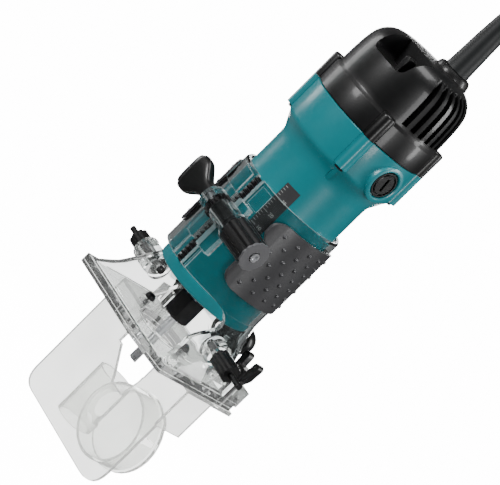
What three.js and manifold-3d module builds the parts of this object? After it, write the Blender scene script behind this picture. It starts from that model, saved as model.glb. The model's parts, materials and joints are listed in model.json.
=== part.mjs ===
// A laminate trim router: a motor in a clear plastic base, with a dust hood for trimming edges.
// Millimetres. +Z runs up the spindle, z = 0 is the underside of the sole, and the front, which
// holds the clamp and the depth rack, faces -Y. The depth knob is on the +X side.
import * as THREE from 'three';
import { mergeVertices } from 'three/addons/utils/BufferGeometryUtils.js';
import Module from 'manifold-3d';

const wasm = await Module();
wasm.setup();

// ---- driving dimensions ----
const GAP = 0.3;                 // between pieces that touch
const HOUSING_R = 33.2;          // the motor housing's straight lower part
const BORE_R = 33.6;             // inside of the base's barrel
const BARREL_R = 37;
const BARREL_LOW = 46;
const BARREL_TOP = 115.5;
const MOTOR_Z = 39.5;            // the housing's lower end above the sole, as the motor is set

const PLATE_X = 48.4;            // the base plate, to each side
const PLATE_FRONT = -40;
const PLATE_BACK = 41.5;
const PLATE_TOP = 6.2;
const SOLE_THICK = 2.1;
const BIT_HOLE_R = 17;

const SLIT_X = 2.2;              // the slit in the barrel's front
const SLIT_WIDTH = 5;
const CLAMP_Y = -44;             // the line that the clamp bolt and the depth knob turn on
const CLAMP_Z = 87.5;
const LUG_OUT_LEFT = 7.1;        // how far each lug reaches along the bolt
const LUG_OUT_RIGHT = 10.5;
const PADDLE_START = -8.3;
const LUG_R = 7.5;

const TOOTH_MODULE = 1;
const PINION_TEETH = 15;
const PINION_R = TOOTH_MODULE * PINION_TEETH / 2;
const RACK_WIDTH = 4.2;
const RACK_LINE = CLAMP_Y + PINION_R;
const RACK_BACK = -33.6;
const RACK_BELOW = 12;           // teeth below and above the pinion, as the motor is set
const RACK_ABOVE = 8;

// heights in the motor's own frame, above the housing's lower end
const STRAIGHT_TOP = 100.5;
const FLANGE_LOW = 113.5;
const SPLIT = 136.5;             // where the cover sits on the housing
const FLANGE_R = 39.5;
const COVER_STEP = 154.5;
const COVER_TOP = 189;
const COVER_R = 37.7;
const BRUSH_Z = 122.3;
const BRUSH_CAP_R = 8.6;
const BRUSH_CAP_FACE = 40;
const SCALE_LOW = 44.3;
const SCALE_HIGH = 85.6;
const BOSS_R = 4.6;
const BOSS_AT = 38;
const BOSS_ANGLES = [47.9, 132.1, 227.9, 312.1];
const CORD_Y = 20.5;             // where the cord leaves the cover's top
const OUTLET_TOP = 192.5;

const GUIDE_Z = 25;              // height of the side screws and the rear knob
const HOOD_LOW = -84;

const CORD_R = 3.8;
const BOOT_LENGTH = 60;

// ---- shapes ----
const rad = THREE.MathUtils.degToRad;

// the closed form of a geometry: shared corners merged, slivers dropped, faces pointing out
function closedMesh(geometry) {
  const bare = geometry.index ? geometry.toNonIndexed() : geometry.clone();
  for (const name of Object.keys(bare.attributes)) {
    if (name !== 'position') bare.deleteAttribute(name);
  }
  const merged = mergeVertices(bare, 1e-4);
  const at = merged.attributes.position.array;
  const index = merged.index.array;
  const triangles = [];
  let volume = 0;
  for (let i = 0; i < index.length; i += 3) {
    const [a, b, c] = [index[i], index[i + 1], index[i + 2]];
    if (a === b || b === c || c === a) continue;
    triangles.push(a, b, c);
    const [p, q, r] = [a, b, c].map(v => new THREE.Vector3().fromArray(at, 3 * v));
    volume += p.dot(q.cross(r));
  }
  if (volume < 0) triangles.reverse();
  return { at: new Float32Array(at), triangles: new Uint32Array(triangles) };
}

function solid(geometry) {
  const { at, triangles } = closedMesh(geometry);
  return new wasm.Manifold(new wasm.Mesh({ numProp: 3, vertProperties: at, triVerts: triangles }));
}

const join = (...solids) => solids.reduce((whole, next) => whole.add(next));
const cut = (whole, ...tools) => tools.reduce((left, tool) => left.subtract(tool), whole);

function box([x0, x1], [y0, y1], [z0, z1]) {
  const geometry = new THREE.BoxGeometry(x1 - x0, y1 - y0, z1 - z0);
  return solid(geometry.translate((x0 + x1) / 2, (y0 + y1) / 2, (z0 + z1) / 2));
}

// a turned shape about the Z axis, from [radius, height] points that run round its section
function turned(points, segments = 40) {
  const profile = [...points, points[0]].map(([r, z]) => new THREE.Vector2(r, z));
  return solid(new THREE.LatheGeometry(profile, segments).rotateX(Math.PI / 2));
}

// turns geometry made about Z so that it runs along another axis
function alongAxis(geometry, axis) {
  if (axis === 'x') return geometry.rotateY(Math.PI / 2);
  if (axis === 'y') return geometry.rotateX(-Math.PI / 2);
  return geometry;
}

// a round bar or cone: its axis, its two ends along it, and the other two coordinates of its line
function bar(axis, [from, to], [u, v], r, segments = 24, endR = r) {
  const geometry = new THREE.CylinderGeometry(endR, r, to - from, segments);
  geometry.rotateX(Math.PI / 2).translate(0, 0, (from + to) / 2);
  alongAxis(geometry, axis);
  const offset = { x: [0, u, v], y: [u, 0, v], z: [u, v, 0] }[axis];
  return solid(geometry.translate(...offset));
}

function ring(axis, ends, line, outer, inner, segments = 24) {
  const through = [ends[0] - 1, ends[1] + 1];
  return cut(bar(axis, ends, line, outer, segments), bar(axis, through, line, inner, segments));
}

// a flat outline, [x, y] points, given a thickness along Z
function slab(points, [low, high]) {
  const outline = new THREE.Shape(points.map(([x, y]) => new THREE.Vector2(x, y)));
  return extruded(outline, [low, high]);
}

function extruded(outline, [low, high], curveSegments = 8) {
  const options = { depth: high - low, bevelEnabled: false, curveSegments };
  return solid(new THREE.ExtrudeGeometry(outline, options).translate(0, 0, low));
}

// an outline drawn in X and Z, given a thickness along Y
function upright(outline, [front, back], curveSegments = 8) {
  const options = { depth: back - front, bevelEnabled: false, curveSegments };
  const geometry = new THREE.ExtrudeGeometry(outline, options).rotateX(Math.PI / 2);
  return solid(geometry.translate(0, back, 0));
}

// an outline drawn in Y and Z, given a thickness along X
function sideways(outline, [left, right], curveSegments = 5) {
  const options = { depth: right - left, bevelEnabled: false, curveSegments };
  const geometry = new THREE.ExtrudeGeometry(outline, options);
  const axes = new THREE.Matrix4().makeBasis(
    new THREE.Vector3(0, 1, 0), new THREE.Vector3(0, 0, 1), new THREE.Vector3(1, 0, 0));
  return solid(geometry.applyMatrix4(axes).translate(left, 0, 0));
}

// a rectangle with round corners
function rounded([left, right], [low, high], r) {
  const outline = new THREE.Shape();
  outline.moveTo(left + r, low);
  outline.absarc(right - r, low + r, r, -Math.PI / 2, 0, false);
  outline.absarc(right - r, high - r, r, 0, Math.PI / 2, false);
  outline.absarc(left + r, high - r, r, Math.PI / 2, Math.PI, false);
  outline.absarc(left + r, low + r, r, Math.PI, 1.5 * Math.PI, false);
  return outline;
}

// part of a tube about Z, between two angles counted from the front towards +X
function shell([inner, outer], [start, end], [low, high], steps) {
  const points = [];
  for (let i = 0; i <= steps; i++) points.push(aroundAxis(outer, start + (end - start) * i / steps));
  for (let i = steps; i >= 0; i--) points.push(aroundAxis(inner, start + (end - start) * i / steps));
  return slab(points, [low, high]);
}

function aroundAxis(r, degrees) {
  return [r * Math.sin(rad(degrees)), -r * Math.cos(rad(degrees))];
}

// a knob's grip: a round bar with shallow flutes, along Z from low to high
function fluted(r, depth, flutes, [low, high]) {
  const points = [];
  const steps = flutes * 4;
  for (let i = 0; i < steps; i++) {
    const turn = 2 * Math.PI * i / steps;
    const wave = r - depth * (0.5 - 0.5 * Math.cos(flutes * turn)) ** 2;
    points.push([wave * Math.cos(turn), wave * Math.sin(turn)]);
  }
  return slab(points, [low, high]);
}

function moved(body, x, y, z) {
  return body.translate([x, y, z]);
}

// what was made along Z now runs along X, or along Y
const toX = body => body.rotate([0, 90, 0]);
const toY = body => body.rotate([-90, 0, 0]);

// ---- materials ----
const plastic = (color, roughness = 0.45) =>
  new THREE.MeshStandardMaterial({ color, roughness, metalness: 0 });
const metal = (color, roughness = 0.35) =>
  new THREE.MeshStandardMaterial({ color, roughness, metalness: 1 });
const clear = () => new THREE.MeshStandardMaterial(
  { color: 0xdfe7e8, roughness: 0.08, metalness: 0, transparent: true, opacity: 0.35 });
const TEAL = 0x0b7d89;
const BLACK = 0x17181a;
const RUBBER = 0x1d1e21;
const STEEL = 0xb9bcc0;
const DARK_STEEL = 0x2a2b2d;
const COPPER = 0xb4683a;
const BRASS = 0xc2a04a;

function piece(name, body, material) {
  const { vertProperties, triVerts } = body.simplify(0.05).getMesh();
  const geometry = new THREE.BufferGeometry();
  geometry.setAttribute('position', new THREE.BufferAttribute(new Float32Array(vertProperties), 3));
  geometry.setIndex(new THREE.BufferAttribute(new Uint32Array(triVerts), 1));
  geometry.computeVertexNormals();
  const mesh = new THREE.Mesh(geometry, material);
  mesh.name = name;
  return mesh;
}

// ---- the motor's case ----
function atBosses(make) {
  return BOSS_ANGLES.map((degrees, i) => make(aroundAxis(BOSS_AT, degrees), i, degrees));
}

function housingShell() {
  return turned([
    [9.5, 0], [32.2, 0], [HOUSING_R, 1.5], [HOUSING_R, STRAIGHT_TOP], [34.3, 105],
    [36.4, 109.2], [38.8, 111.6], [FLANGE_R, FLANGE_LOW], [FLANGE_R, SPLIT], [36.8, SPLIT],
    [36.8, 115], [31.6, 107], [30.4, 98], [30.4, 14.5], [13.4, 14.5], [13.4, 5], [9.5, 5],
  ], 32);
}

// the thin rib that runs from a screw boss down the shoulder
function shoulderRib(degrees) {
  const outline = new THREE.Shape([[31, 101], [33.5, 101], [38.5, 112.5], [31, 112.5]]
    .map(([r, z]) => new THREE.Vector2(r, z)));
  return upright(outline, [-1.2, 1.2]).rotate([0, 0, degrees - 90]);
}

function brushCollar(side) {
  return bar('x', mirrored(side, [34, BRUSH_CAP_FACE + 0.5]), [0, BRUSH_Z], 12.2, 28);
}

function motorHousing() {
  let body = housingShell();
  atBosses((at, i, degrees) => {
    body = join(body, bar('z', [112, SPLIT], at, BOSS_R, 12), shoulderRib(degrees));
  });
  body = join(body, brushCollar(1), brushCollar(-1));
  atBosses(at => {
    body = cut(body, bar('z', [111, SPLIT + 1], at, 2.1, 8), bar('z', [111, 115.4], at, 3.6, 12));
  });
  const capSeat = side => bar('x', mirrored(side, [37, 43]), [0, BRUSH_Z], BRUSH_CAP_R + 0.4, 28);
  const holderHole = bar('x', [-44, 44], [0, BRUSH_Z], 6.2, 16);
  const scaleSeat = shell([32.2, 40], [24, 43], [SCALE_LOW - 0.4, SCALE_HIGH + 0.4], 6);
  return cut(body, capSeat(1), capSeat(-1), holderHole, scaleSeat);
}

function scalePlate() {
  return shell([32.5, 33.1], [24.6, 42.4], [SCALE_LOW, SCALE_HIGH], 6);
}

function ventSlots(side) {
  const slots = [];
  for (let i = 0; i < 7; i++) {
    const angle = side * (62 + 10 * i);
    const slot = box([-1.45, 1.45], [-45, -27.5], [COVER_STEP + 1, COVER_TOP + 2]);
    slots.push(slot.rotate([0, 0, angle]));
  }
  return slots;
}

function coverShell() {
  return turned([
    [FLANGE_R, SPLIT + GAP], [FLANGE_R, COVER_STEP - 3.5], [COVER_R + 0.5, COVER_STEP],
    [COVER_R, 163], [36.6, 175.5], [35, 180.2], [31.6, 184.6], [27, 187.6], [21, COVER_TOP],
    [0, COVER_TOP], [0, COVER_TOP - 3], [20, COVER_TOP - 3], [29.4, 181.6], [33.4, 175],
    [35, 156], [36.4, 150], [36.4, SPLIT + GAP],
  ], 32);
}

function rearCover() {
  let body = coverShell();
  atBosses(at => { body = join(body, bar('z', [SPLIT + GAP, 154.1], at, BOSS_R, 12)); });
  const seat = turned([[0, 154], [12.5, 154], [12.5, 187], [0, 187]], 24);
  const bridge = box([-4, 4], [-36, 36], [157, 161]);
  const insideWall = turned([[0, 150], [35.8, 150], [35.8, 161.5], [0, 161.5]], 24);
  const outlet = bar('z', [183, OUTLET_TOP], [0, CORD_Y], 12.6, 24, 10.8);
  body = join(body, seat, bridge.intersect(insideWall), outlet);
  const bearingSeat = bar('z', [153, 161.3], [0, 0], 9.95, 24);
  const hollow = bar('z', [162.5, 185.5], [0, 0], 10.5, 16);
  const vent = box([-14, 14], [-2.5, 2.5], [164, 184]);
  const pocket = box([-9.5, 18], [-45, -15.5], [173.5, 200]);
  const cordHole = bar('z', [180, 200], [0, CORD_Y], 6.4, 16);
  body = cut(body, bearingSeat, hollow, vent, pocket, cordHole, ...ventSlots(1), ...ventSlots(-1));
  const pocketFloor = box([-11.5, 20], [-33, -13.5], [171.5, 173.5]);
  const pocketWalls = cut(box([-11.5, 20], [-33, -13.5], [171.5, 187]),
    box([-9.5, 18], [-50, -15.5], [160, 200]));
  const inside = turned([[12, 150], [35.6, 150], [34.6, 173], [31, 181], [25, 186.5], [12, 186.5]], 24);
  body = join(body, pocketFloor.intersect(inside), pocketWalls.intersect(inside));
  const leverSlot = box([LEVER_X - 2.6, LEVER_X + 4.6], [-30, -19], [170, 176]);
  atBosses(at => { body = cut(body, bar('z', [130, 150.5], at, 1.85, 8)); });
  return cut(body, leverSlot);
}

function coverScrew(at) {
  const head = bar('z', [112.4, 115], at, 3.2, 12);
  const socket = box([at[0] - 2.2, at[0] + 2.2], [at[1] - 0.45, at[1] + 0.45], [112, 113.4]);
  return cut(join(head, bar('z', [114.5, 149.5], at, 1.5, 8)), socket);
}

// ---- brushes ----
const mirrored = (side, [near, far]) => side > 0 ? [near, far] : [-far, -near];

function brushCap(side) {
  const top = bar('x', mirrored(side, [37.3, BRUSH_CAP_FACE]), [0, BRUSH_Z], BRUSH_CAP_R, 28);
  const plug = bar('x', mirrored(side, [35.6, 37.6]), [0, BRUSH_Z], 5.8, 20);
  const slot = box(mirrored(side, [BRUSH_CAP_FACE - 1.3, 42]), [-0.8, 0.8], [BRUSH_Z - 6, BRUSH_Z + 6]);
  return cut(join(top, plug), slot);
}

function brushHolder(side) {
  const body = bar('x', mirrored(side, [13.5, 35.3]), [0, BRUSH_Z], 5.8, 16);
  const channel = box(mirrored(side, [12, 37]), [-3.3, 3.3], [BRUSH_Z - 4.3, BRUSH_Z + 4.3]);
  return cut(body, channel);
}

function carbonBrush(side) {
  return box(mirrored(side, [11.4, 24]), [-3, 3], [BRUSH_Z - 4, BRUSH_Z + 4]);
}

function brushSpring(side) {
  class Helix extends THREE.Curve {
    getPoint(t) {
      const turn = 2 * Math.PI * 4 * t;
      const along = side * (24.9 + 9.7 * t);
      return new THREE.Vector3(along, 2.3 * Math.cos(turn), BRUSH_Z + 2.3 * Math.sin(turn));
    }
  }
  return tubeAlong(new Helix(), 0.35, 30, 4);
}

function tubeAlong(curve, r, steps, sides) {
  const section = new THREE.Shape();
  for (let i = 0; i < sides; i++) {
    const turn = 2 * Math.PI * i / sides;
    const point = [r * Math.cos(turn), r * Math.sin(turn)];
    if (i) section.lineTo(...point);
    else section.moveTo(...point);
  }
  return solid(new THREE.ExtrudeGeometry(section, { steps, extrudePath: curve }));
}

// ---- the motor's inside ----
function fieldStator() {
  const core = turned([[19, 57], [29.8, 57], [29.8, 96], [19, 96]], 32);
  const flats = [-1, 1].map(side => box([-35, 35], side > 0 ? [26, 36] : [-36, -26], [50, 100]));
  const coil = side => {
    const span = side > 0 ? [40, 140] : [220, 320];
    return shell([19.6, 25.4], span, [52, 101], 6);
  };
  return join(cut(core, ...flats), coil(1), coil(-1));
}

function bearing(outer, inner, [low, high]) {
  return turned([[inner, low], [outer, low], [outer, high], [inner, high]], 20);
}

function spindleShaft() {
  const body = turned([
    [0, -6], [3.9, -6], [5.3, -20.5], [6.2, -20.5], [6.2, -4.5], [4.85, -3.5], [4.85, 15.5],
    [5.6, 15.5], [5.6, 18], [4, 18], [4, 148], [3.35, 148], [3.35, 161], [0, 161],
  ], 16);
  return body;
}

function colletCone() {
  const cone = turned([[3.1, -21], [4.9, -21], [4.9, -20.4], [3.75, -8], [3.1, -8]], 20);
  return cut(cone, box([-0.3, 0.3], [0, 6], [-22, -7]));
}

function colletNut() {
  const hexagon = [];
  for (let i = 0; i < 6; i++) {
    const turn = rad(60 * i + 10);
    hexagon.push([9.8 * Math.cos(turn), 9.8 * Math.sin(turn)]);
  }
  const trim = turned([[0, -22.8], [8, -22.8], [9.7, -21], [9.7, -6.8], [9.2, -6], [0, -6]], 24);
  const bore = turned([[0, -24], [4, -24], [4, -21.3], [6.5, -21.3], [6.5, 0], [0, 0]], 16);
  return cut(slab(hexagon, [-22.8, -6]).intersect(trim), bore);
}

function routerBit() {
  const shank = bar('z', [-44, -14], [0, 0], 2.8, 20);
  const flutes = [0, 180].map(degrees =>
    slab([[-1.1, -0.6], [3.1, -0.9], [3.1, 0.6], [-1.1, 1.2]], [-59.2, -42]).rotate([0, 0, degrees]));
  const tip = bar('z', [-59.2, -43.5], [0, 0], 1.5, 12);
  return join(shank, tip, ...flutes);
}

function armatureCore() {
  const body = turned([[4.3, 55], [9, 52], [15, 52], [15, 58], [17.6, 58], [17.6, 95],
    [15, 95], [15, 101], [9, 101], [4.3, 98]], 24);
  const slots = [];
  for (let i = 0; i < 8; i++) {
    slots.push(box([-1.2, 1.2], [15.8, 20], [50, 103]).rotate([0, 0, 45 * i]));
  }
  return cut(body, ...slots);
}

function commutator() {
  const body = turned([[4.3, 112], [10.2, 112], [10.2, 114], [11, 114], [11, 131], [4.3, 131]], 20);
  return body;
}

function coolingFan() {
  const hub = turned([[4.3, 33], [8, 33], [8, 45], [28, 45], [28, 46.6], [4.3, 46.6]], 24);
  const blades = [];
  for (let i = 0; i < 8; i++) {
    blades.push(box([-0.8, 0.8], [7.5, 27.2], [36, 45.4]).rotate([0, 0, 45 * i]));
  }
  return join(hub, ...blades);
}

// ---- switch and cord entry ----
function switchBody() {
  return box([5, 15], [-29, -14.8], [158.5, 166.6]);
}

const LEVER_X = 10;
const LEVER_Z = 169.2;

function switchLever() {
  const outline = new THREE.Shape();
  outline.moveTo(-2, -1);
  outline.lineTo(2, -1);
  outline.lineTo(1.9, 13);
  outline.absarc(0, 13, 1.9, 0, Math.PI, false);
  outline.lineTo(-2, -1);
  return moved(upright(outline, [-29.5, -21.5], 6), LEVER_X, 0, LEVER_Z);
}

function cordClamp() {
  const strap = box([-12, 12], [14.5, 26.5], [168, 172]);
  return cut(strap, bar('z', [160, 175], [0, CORD_Y], 4.2, 16));
}

// ---- depth rack and pinion ----
// the rack's outline in Y and Z: its back is flat, and a tooth is centred on the pinion
function rackOutline() {
  const pitch = Math.PI * TOOTH_MODULE;
  const [tip, root] = [RACK_LINE - 0.85 * TOOTH_MODULE, RACK_LINE + 1.15 * TOOTH_MODULE];
  const lean = Math.tan(rad(20));
  const half = pitch / 4 - 0.14;
  const middle = CLAMP_Z - MOTOR_Z;
  const low = middle - (RACK_BELOW + 0.6) * pitch;
  const high = middle + (RACK_ABOVE + 0.6) * pitch;
  const points = [[RACK_BACK, low], [root, low]];
  for (let i = -RACK_BELOW; i <= RACK_ABOVE; i++) {
    const z = middle + i * pitch;
    const [wide, narrow] = [half + (root - RACK_LINE) * lean, half - (RACK_LINE - tip) * lean];
    points.push([root, z - wide], [tip, z - narrow], [tip, z + narrow], [root, z + wide]);
  }
  points.push([root, high], [RACK_BACK, high]);
  return points;
}

function depthRack() {
  const outline = new THREE.Shape(rackOutline().map(([y, z]) => new THREE.Vector2(y, z)));
  return sideways(outline, [SLIT_X - RACK_WIDTH / 2, SLIT_X + RACK_WIDTH / 2]);
}

// an involute gear about Z with a gap, not a tooth, on its +X side
function gear(teeth, [low, high]) {
  const pitchR = TOOTH_MODULE * teeth / 2;
  const baseR = pitchR * Math.cos(rad(20));
  const tipR = pitchR + 0.85 * TOOTH_MODULE;
  const rootR = pitchR - 1.15 * TOOTH_MODULE;
  const unwind = r => {
    const angle = Math.acos(Math.min(1, baseR / r));
    return Math.tan(angle) - angle;
  };
  const half = Math.PI / (2 * teeth) - 0.14 / pitchR;
  const radii = [rootR, pitchR, tipR];
  const points = [];
  for (let i = 0; i < teeth; i++) {
    const middle = 2 * Math.PI * (i + 0.5) / teeth;
    const sides = radii.map(r => [r, half + unwind(pitchR) - unwind(Math.max(r, baseR))]);
    sides.forEach(([r, away]) => points.push([r, middle - away]));
    [...sides].reverse().forEach(([r, away]) => points.push([r, middle + away]));
  }
  return slab(points.map(([r, turn]) => [r * Math.cos(turn), r * Math.sin(turn)]), [low, high]);
}

function pinion() {
  const teeth = moved(toX(gear(PINION_TEETH, [-RACK_WIDTH / 2, RACK_WIDTH / 2])
    .rotate([0, 0, 90])), SLIT_X, CLAMP_Y, CLAMP_Z);
  const line = [CLAMP_Y, CLAMP_Z];
  const sleeve = bar('x', [SLIT_X + 1.5, KNOB_END - 2.3], line, 4.1, 20);
  return cut(join(teeth, sleeve), bar('x', [-5, 60], line, 2.9, 16));
}

const KNOB_START = 23.8;
const KNOB_END = 47.6;
const KNOB_R = 9.7;

function adjustingKnob() {
  const grip = fluted(KNOB_R, 1.2, 9, [KNOB_START, KNOB_END - 1.6]);
  return cut(toX(grip), bar('x', [0, 60], [0, 0], 4.4, 20)).translate([0, CLAMP_Y, CLAMP_Z]);
}

function knobCap() {
  const disc = cut(fluted(KNOB_R - 0.1, 0.5, 13, [KNOB_END - 1.3, KNOB_END]),
    bar('z', [0, 60], [0, 0], 3.4, 20));
  return toX(disc).translate([0, CLAMP_Y, CLAMP_Z]);
}

// ---- clamp ----
function hexBar([from, to], [y, z], flats) {
  const hexagon = [];
  for (let i = 0; i < 6; i++) {
    const turn = rad(60 * i + 30);
    hexagon.push([flats / Math.sqrt(3) * Math.cos(turn), flats / Math.sqrt(3) * Math.sin(turn)]);
  }
  return toX(slab(hexagon, [from, to])).translate([0, y, z]);
}

function clampBolt() {
  const line = [CLAMP_Y, CLAMP_Z];
  const head = cut(bar('x', [KNOB_END - 1, KNOB_END + 0.7], line, 3, 20),
    hexBar([KNOB_END - 0.6, KNOB_END + 3], line, 3));
  return join(bar('x', [PADDLE_START - 9, KNOB_END], line, 2.5, 16), head);
}

// the paddle reaches away from its side of the lug, which is at x = 0 here
function paddleOutline() {
  const outline = new THREE.Shape();
  outline.moveTo(0, -4.8);
  outline.lineTo(-5.3, -5.2);
  outline.bezierCurveTo(-9.3, -6, -12.3, -11.8, -19.3, -12.5);
  outline.bezierCurveTo(-24.7, -12.5, -25.9, -8, -25.9, 0);
  outline.bezierCurveTo(-25.9, 8, -24.7, 12.5, -19.3, 12.5);
  outline.bezierCurveTo(-12.3, 11.8, -9.3, 6, -5.3, 5.2);
  outline.lineTo(0, 4.8);
  outline.lineTo(0, -4.8);
  return outline;
}

function clampPaddle() {
  const paddle = upright(paddleOutline(), [-4.4, 4.4], 6);
  const hub = bar('x', [-8.3, 0], [0, 0], 5.4, 20);
  const bore = bar('x', [-12, 2], [0, 0], 2.8, 16);
  return moved(cut(join(paddle, hub), bore), PADDLE_START, CLAMP_Y, CLAMP_Z);
}

// ---- the clear base ----
// the plate's outline seen from above: its front right corner is cut off at a slant
function plateOutline() {
  return [[-PLATE_X, PLATE_FRONT + 1], [-PLATE_X + 1, PLATE_FRONT], [18.6, PLATE_FRONT],
    [PLATE_X, -33.6], [PLATE_X, PLATE_BACK - 4], [PLATE_X - 4, PLATE_BACK],
    [-PLATE_X + 4, PLATE_BACK], [-PLATE_X, PLATE_BACK - 4]];
}

// how far the skirt is from the spindle at an angle: round above, square at the plate
function skirtRadius(degrees, drop, inset) {
  const [x, y] = aroundAxis(1, degrees);
  const toEdge = Math.min((PLATE_X - 1) / Math.abs(x || 1e-9),
    (y < 0 ? 39 : PLATE_BACK - 1) / Math.abs(y || 1e-9), 61.5);
  return BARREL_R - inset + (toEdge - BARREL_R) * drop ** 2;
}

// a closed skin through level outlines that all have the same number of points
function lofted(rings) {
  const count = rings[0].length;
  const points = rings.flat();
  const faces = [];
  for (let k = 0; k < rings.length; k++) {
    for (let i = 0; i < count; i++) {
      const [a, b] = [k * count + i, k * count + (i + 1) % count];
      const next = (k + 1) % rings.length;
      const [c, d] = [next * count + i, next * count + (i + 1) % count];
      faces.push(a, b, d, a, d, c);
    }
  }
  const geometry = new THREE.BufferGeometry();
  geometry.setAttribute('position', new THREE.Float32BufferAttribute(points.flat(), 3));
  geometry.setIndex(faces);
  return solid(geometry);
}

function skirt() {
  const level = (drop, inset) => {
    const z = BARREL_LOW + 1 - drop * (BARREL_LOW + 1 - 4);
    const outline = [];
    for (let degrees = 0; degrees < 360; degrees += 10) {
      const r = skirtRadius(degrees, drop, inset);
      const [x, y] = aroundAxis(r, degrees);
      outline.push([x, y, z]);
    }
    return outline;
  };
  const drops = [0, 0.3, 0.55, 0.75, 1];
  const outer = drops.map(drop => level(drop, 0));
  const inner = [...drops].reverse().map(drop => level(drop, BARREL_R - BORE_R - 0.2));
  return lofted([...outer, ...inner]);
}

// what is taken out of the skirt's front, seen from the side: wide at the top, and running
// forward to the plate's front corners
function frontWindow() {
  const outline = new THREE.Shape();
  outline.moveTo(-60, PLATE_TOP);
  outline.lineTo(-37, PLATE_TOP);
  outline.lineTo(-33.5, 7.5);
  outline.lineTo(-27.5, 12);
  outline.lineTo(-23.5, 17);
  outline.lineTo(-21, 22);
  outline.bezierCurveTo(-16, 30, -8, 32, -7, 38);
  outline.bezierCurveTo(-8, 46, -16, 48.3, -24, 48.3);
  outline.lineTo(-60, 48.3);
  return sideways(outline, [-60, 60]);
}

// a round collar that carries the adjusting knob, out from the right lug
function lugCollar() {
  const line = [CLAMP_Y, CLAMP_Z];
  return join(bar('x', [LUGS[1][0], KNOB_START - 2.6], line, LUG_R, 24),
    bar('x', [KNOB_START - 2.6, KNOB_START - 0.4], line, KNOB_R, 28));
}

// raised pads beside the clamp, and the ribs below it
function barrelReliefs() {
  const pads = [[[326.5, 356.5], [99, 113.5]], [[13.5, 26], [100.5, 113.5]]]
    .map(([span, heights]) => shell([BARREL_R - 0.8, BARREL_R + 1.3], span, heights, 5));
  const ribs = [354.5, 14.2].map(degrees =>
    shell([BARREL_R - 0.8, BARREL_R + 1.2], [degrees - 0.9, degrees + 0.9], [48.5, 75], 2));
  return [...pads, ...ribs];
}

// the left boss is the longer one, and ends in a ribbed ring
function guideBosses() {
  const left = bar('x', [-GUIDE_LEFT[0] + 2.6, -34.4], [0, GUIDE_Z], 8, 20);
  const right = bar('x', [34.4, GUIDE_RIGHT[0] - 0.4], [0, GUIDE_Z], 8, 20);
  const ring = toX(fluted(8.3, 0.5, 24, [-GUIDE_LEFT[0] + 0.4, -GUIDE_LEFT[0] + 2.8]));
  return [left, right, ring.translate([0, 0, GUIDE_Z])];
}

function clampLug([from, to]) {
  const line = [CLAMP_Y, CLAMP_Z];
  const round = bar('x', [from, to], line, LUG_R, 24);
  const web = box([from, to], [CLAMP_Y, -33], [CLAMP_Z - LUG_R, CLAMP_Z + LUG_R]);
  const rib = box([from, to], [-39.6, -34.5], [CLAMP_Z - 24, CLAMP_Z + 12]);
  return join(round, web, rib);
}

const LUGS = [
  [SLIT_X - SLIT_WIDTH / 2 - LUG_OUT_LEFT, SLIT_X - SLIT_WIDTH / 2],
  [SLIT_X + SLIT_WIDTH / 2, SLIT_X + SLIT_WIDTH / 2 + LUG_OUT_RIGHT],
];
const WING_AT = [39.5, 32];
const SOLE_SCREWS = [[-23, -1.5], [23, -1.5], [-23, 28], [23, 28]];

function baseHousing() {
  const barrel = turned([[BORE_R, BARREL_LOW], [BARREL_R, BARREL_LOW], [BARREL_R, BARREL_TOP - 1],
    [BARREL_R - 0.8, BARREL_TOP], [BORE_R + 0.8, BARREL_TOP], [BORE_R, BARREL_TOP - 1]], 32);
  const plate = slab(plateOutline(), [SOLE_THICK + GAP, PLATE_TOP]);
  const legs = cut(skirt(), frontWindow()).intersect(slab(plateOutline(), [3, 60]));
  const rearBoss = bar('y', [34.6, 53.4], [0, GUIDE_Z], 8, 20);
  const blocks = [1, -1].map(side => box(mirrored(side, [WING_AT[0] - 6.5, PLATE_X - 0.6]),
    [WING_AT[1] - 7.5, PLATE_BACK - 1], [4, 15.5]));
  const lugs = LUGS.map(clampLug);
  const screwPosts = SOLE_SCREWS.map(at => bar('z', [4, 9.6], at, 4.6, 14));
  let body = join(cut(barrel, frontWindow()), plate, legs, ...guideBosses(), rearBoss, ...blocks,
    ...lugs, lugCollar(), ...barrelReliefs(), ...screwPosts);
  const bore = bar('z', [15, 130], [0, 0], BORE_R, 32);
  const slit = box([LUGS[0][1], LUGS[1][0]], [-60, -30], [PLATE_TOP + 20, 120]);
  body = cut(body, bore, slit);
  body = cut(body, bar('z', [-5, 30], [0, 0], BIT_HOLE_R, 28),
    bar('x', [-60, 18], [CLAMP_Y, CLAMP_Z], 2.8, 16),
    bar('x', [LUGS[1][0] - 1, 40], [CLAMP_Y, CLAMP_Z], 4.4, 20),
    bar('x', [-60, 60], [0, GUIDE_Z], 2.8, 16),
    bar('y', [30, 60], [0, GUIDE_Z], 2.8, 16),
    ...SOLE_SCREWS.map(at => bar('z', [0, 12], at, 1.8, 12)),
    ...[1, -1].map(side => bar('z', [0, 20], [side * WING_AT[0], WING_AT[1]], 2.8, 12)),
    ...[1, -1].map(side => bar('z', [15.5, 45], [side * WING_AT[0], WING_AT[1]], 9.3, 20)));
  return body;
}

function solePlate() {
  return cut(slab(plateOutline(), [0, SOLE_THICK]),
    bar('z', [-1, 5], [0, 0], BIT_HOLE_R, 28),
    ...SOLE_SCREWS.map(at => bar('z', [-1, 3], at, 1.8, 12)),
    ...[1, -1].map(side => bar('z', [-1, 3], [side * WING_AT[0], WING_AT[1]], 2.8, 16)));
}

function soleScrew([x, y]) {
  const head = turned([[0, 9.9], [3.3, 9.9], [3.4, 10.6], [2.9, 12.4], [1.8, 13.4], [0, 13.7]], 14);
  return moved(join(head, bar('z', [0.6, 10], [0, 0], 1.5, 8)), x, y, 0);
}

const GRIP_Y = 27.5;
const GRIP_Z = [59.5, 108.5];
const GRIP_NOTCH_Z = 85.5;

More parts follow.
